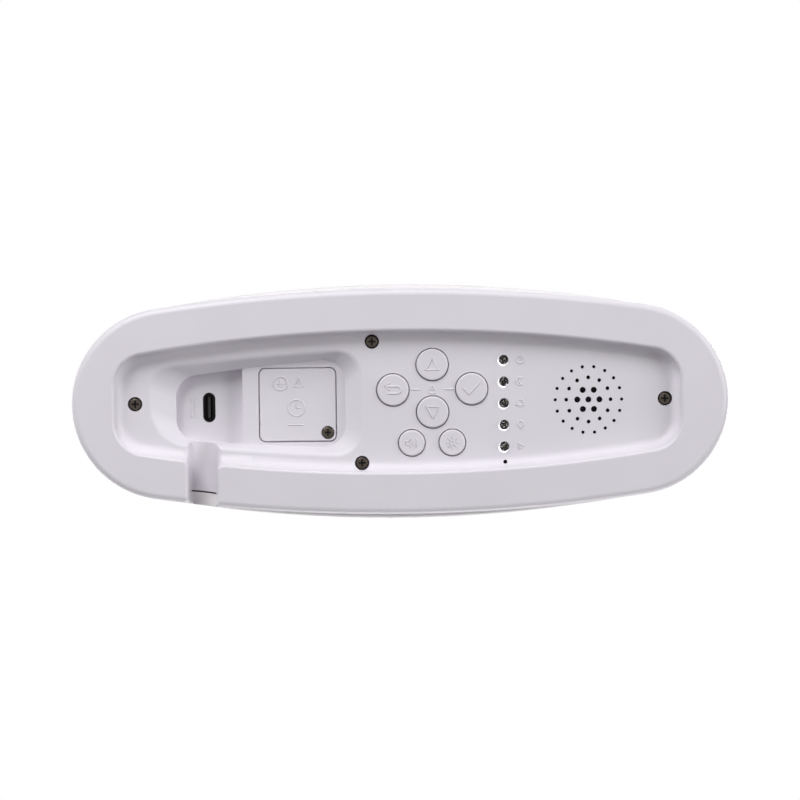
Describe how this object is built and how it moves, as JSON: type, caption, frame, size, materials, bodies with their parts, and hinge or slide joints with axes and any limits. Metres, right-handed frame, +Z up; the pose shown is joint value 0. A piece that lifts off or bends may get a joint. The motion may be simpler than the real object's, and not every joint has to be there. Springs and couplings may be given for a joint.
{
  "type": "sleep trainer clock",
  "caption": "Low arch-shaped bedside clock with a display window, a light band and a recessed control panel, charging socket and battery door on its underside.",
  "frame": {"origin": "centre of the rim's footprint, on the plane that the clock stands on", "axes": "+Z up, -Y is the front with the display, +X is to the right seen from the front, +Y is the rear where the cable leaves"},
  "size_m": [0.2068, 0.074, 0.1104],
  "materials": {
    "base_plastic": "satin",
    "button_plastic": "satin",
    "shell_plastic": "matte",
    "opal_diffuser": "satin",
    "smoked_window": "gloss",
    "printed_film": "matte",
    "black_screw": "satin",
    "plated_screw": "satin",
    "spring_steel": "satin",
    "cell_steel": "polished",
    "lamp_epoxy": "gloss",
    "switch_plastic": "matte",
    "circuit_board": "satin",
    "white_board": "satin",
    "chip_epoxy": "matte",
    "connector_nylon": "matte",
    "reflector_plastic": "satin",
    "lamp_phosphor": "satin",
    "display_plastic": "matte",
    "lit_segment": "satin",
    "speaker_cloth": "woven",
    "foam": "matte",
    "speaker_steel": "satin",
    "magnet_steel": "satin",
    "copper_coil": "satin",
    "wire_jacket": "satin",
    "ribbon_jacket": "satin"
  },
  "bodies": {
    "housing": {"base_housing": "base_plastic", "battery_leads": "wire_jacket", "board_connectors": "connector_nylon", "case_screws": "black_screw", "cell_contact_side": "spring_steel", "cell_contact_top": "spring_steel", "coin_cell": "cell_steel", "display_body": "display_plastic", "display_digits": "lit_segment", "display_window": "smoked_window", "front_shell": "shell_plastic", "glow_band": "opal_diffuser", "glow_lamps": "lamp_phosphor", "grille_mesh": "speaker_cloth", "indicator_lamps": "lamp_epoxy", "lamp_leads": "spring_steel", "light_board": "white_board", "light_board_screws": "plated_screw", "light_board_socket": "connector_nylon", "light_trough": "reflector_plastic", "main_board": "circuit_board", "main_board_chips": "chip_epoxy", "main_board_screws": "plated_screw", "power_leads": "wire_jacket", "rear_shell": "shell_plastic", "reset_switch": "switch_plastic", "ribbon_cable": "ribbon_jacket", "speaker_basket": "speaker_steel", "speaker_coil": "copper_coil", "speaker_cone": "speaker_cloth", "speaker_gasket": "foam", "speaker_leads": "wire_jacket", "speaker_magnet": "magnet_steel", "speaker_screws": "plated_screw", "tact_switches": "switch_plastic", "usb_board": "circuit_board", "usb_board_screws": "plated_screw", "usb_socket": "spring_steel", "usb_tongue": "switch_plastic", "window_mask": "printed_film"},
    "key_up": {"button_up": "button_plastic", "switch_plunger_up": "switch_plastic"},
    "key_back": {"button_back": "button_plastic", "switch_plunger_back": "switch_plastic"},
    "key_check": {"button_check": "button_plastic", "switch_plunger_check": "switch_plastic"},
    "key_down": {"button_down": "button_plastic", "switch_plunger_down": "switch_plastic"},
    "key_volume": {"button_volume": "button_plastic", "switch_plunger_volume": "switch_plastic"},
    "key_brightness": {"button_brightness": "button_plastic", "switch_plunger_brightness": "switch_plastic"},
    "reset_key": {"reset_plunger": "switch_plastic"},
    "door": {"battery_door": "base_plastic"},
    "door_screw": {"battery_door_screw": "black_screw"}
  },
  "joints": [
    {"name": "up_press", "type": "slide", "parent": "housing", "child": "key_up", "axis": [0, 0, 1], "range_m": [0, 0.0005], "stiffness_N_per_m": 300},
    {"name": "back_press", "type": "slide", "parent": "housing", "child": "key_back", "axis": [0, 0, 1], "range_m": [0, 0.0005], "stiffness_N_per_m": 300},
    {"name": "check_press", "type": "slide", "parent": "housing", "child": "key_check", "axis": [0, 0, 1], "range_m": [0, 0.0005], "stiffness_N_per_m": 300},
    {"name": "down_press", "type": "slide", "parent": "housing", "child": "key_down", "axis": [0, 0, 1], "range_m": [0, 0.0005], "stiffness_N_per_m": 300},
    {"name": "volume_press", "type": "slide", "parent": "housing", "child": "key_volume", "axis": [0, 0, 1], "range_m": [0, 0.0005], "stiffness_N_per_m": 300},
    {"name": "brightness_press", "type": "slide", "parent": "housing", "child": "key_brightness", "axis": [0, 0, 1], "range_m": [0, 0.0005], "stiffness_N_per_m": 300},
    {"name": "reset_press", "type": "slide", "parent": "housing", "child": "reset_key", "axis": [0, 0, 1], "range_m": [0, 0.00025], "stiffness_N_per_m": 300},
    {"name": "door_lift", "type": "slide", "parent": "housing", "child": "door", "axis": [0, 0, -1], "range_m": [0, 0.018]},
    {"name": "door_screw_back_out", "type": "slide", "parent": "door", "child": "door_screw", "axis": [0, 0, -1], "range_m": [0, 0.005]}
  ]
}
